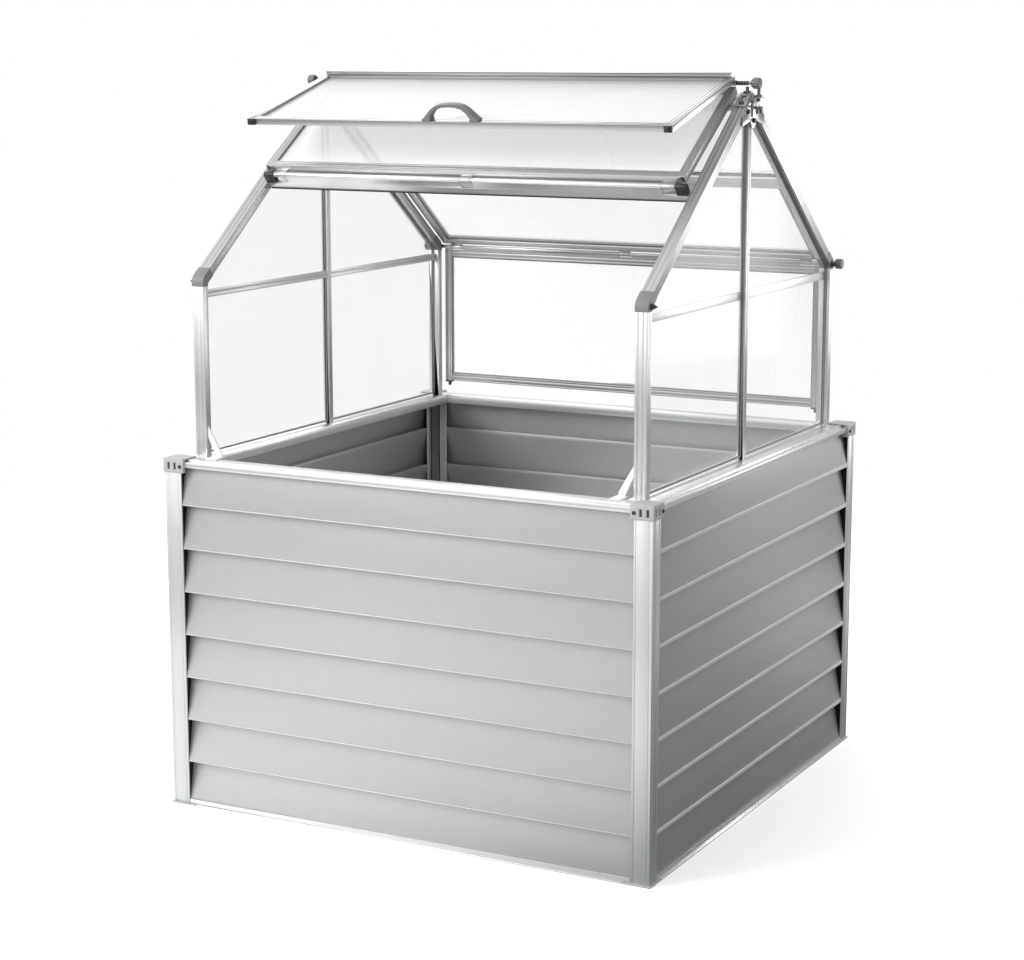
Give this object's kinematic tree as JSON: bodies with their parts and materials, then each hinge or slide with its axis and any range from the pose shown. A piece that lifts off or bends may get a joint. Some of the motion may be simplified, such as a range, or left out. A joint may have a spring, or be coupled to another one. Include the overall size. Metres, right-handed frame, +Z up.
{
  "type": "cold frame",
  "caption": "Raised clapboard planting box with a glazed gable cover whose front and rear close with folding roof and wall leaves that have bow handles",
  "frame": {"origin": "centre of the bed's footprint on the ground", "axes": "+X to the right along the front, +Y from the front to the rear, +Z up; the front is -Y"},
  "size_m": [1.19, 1.19, 1.621],
  "materials": {
    "frame_metal": "satin anodised, fine lines along the length",
    "rim_metal": "bright satin",
    "brace_metal": "white satin paint",
    "board_sheet": "satin light grey coating",
    "tray_metal": "dull mill finish",
    "glazing": "clear smooth polycarbonate, lightly frosted in the leaves",
    "grey_plastic": "fine matt moulded grain",
    "dark_plastic": "fine matt moulded grain",
    "black_plastic": "smooth satin",
    "pin_steel": "turned"
  },
  "bodies": {
    "frame": {"bed_post_front_left": "frame_metal", "bed_post_front_right": "frame_metal", "bed_post_rear_left": "frame_metal", "bed_post_rear_right": "frame_metal", "boards_front": "board_sheet", "boards_rear": "board_sheet", "boards_left": "board_sheet", "boards_right": "board_sheet", "base_rail_front": "rim_metal", "base_rail_rear": "rim_metal", "base_rail_left": "rim_metal", "base_rail_right": "rim_metal", "rim_rail_front": "rim_metal", "rim_rail_rear": "rim_metal", "rim_rail_left": "rim_metal", "rim_rail_right": "rim_metal", "rim_corner_brackets": "grey_plastic", "corner_feet": "grey_plastic", "soil_tray": "tray_metal", "tray_supports": "tray_metal", "bolts": "black_plastic", "cover_post_front_left": "frame_metal", "cover_post_front_right": "frame_metal", "cover_post_rear_left": "frame_metal", "cover_post_rear_right": "frame_metal", "eave_caps": "grey_plastic", "rafter_front_left": "frame_metal", "rafter_front_right": "frame_metal", "rafter_rear_left": "frame_metal", "rafter_rear_right": "frame_metal", "ridge_rail": "frame_metal", "apex_plates": "frame_metal", "gable_post_left": "frame_metal", "gable_post_right": "frame_metal", "gable_rails": "frame_metal", "gable_panes_left": "glazing", "gable_panes_right": "glazing", "front_purlin": "frame_metal", "rear_purlin": "frame_metal", "front_upper_pane": "glazing", "rear_upper_pane": "glazing", "corner_braces": "brace_metal", "purlin_end_blocks": "black_plastic", "fold_pins": "pin_steel"},
    "front_roof_leaf": {"front_roof_leaf_frame": "frame_metal", "front_roof_leaf_pane": "glazing", "front_roof_leaf_knuckles": "frame_metal", "front_fold_knobs": "dark_plastic"},
    "front_wall_leaf": {"front_wall_leaf_frame": "frame_metal", "front_wall_leaf_pane": "glazing", "front_wall_leaf_caps": "black_plastic", "front_handle": "dark_plastic"},
    "rear_roof_leaf": {"rear_roof_leaf_frame": "frame_metal", "rear_roof_leaf_pane": "glazing", "rear_roof_leaf_knuckles": "frame_metal", "rear_fold_knobs": "dark_plastic"},
    "rear_wall_leaf": {"rear_wall_leaf_frame": "frame_metal", "rear_wall_leaf_pane": "glazing", "rear_wall_leaf_caps": "black_plastic", "rear_handle": "dark_plastic"}
  },
  "joints": [
    {"name": "front_roof_fold", "type": "hinge", "parent": "frame", "child": "front_roof_leaf", "pos_m": [0, -0.27944, 1.40016], "axis": [1, 0, 0], "range_deg": [0, 183.5]},
    {"name": "front_wall_fold", "type": "hinge", "parent": "front_roof_leaf", "child": "front_wall_leaf", "pos_m": [0, -0.00926, 1.60687], "axis": [1, 0, 0], "range_deg": [-109.5, 0]},
    {"name": "rear_roof_fold", "type": "hinge", "parent": "frame", "child": "rear_roof_leaf", "pos_m": [0, 0.27944, 1.40016], "axis": [1, 0, 0], "range_deg": [0, 150]},
    {"name": "rear_wall_fold", "type": "hinge", "parent": "rear_roof_leaf", "child": "rear_wall_leaf", "pos_m": [0, 0.5365, 1.17734], "axis": [1, 0, 0], "range_deg": [-109.5, 0]}
  ]
}
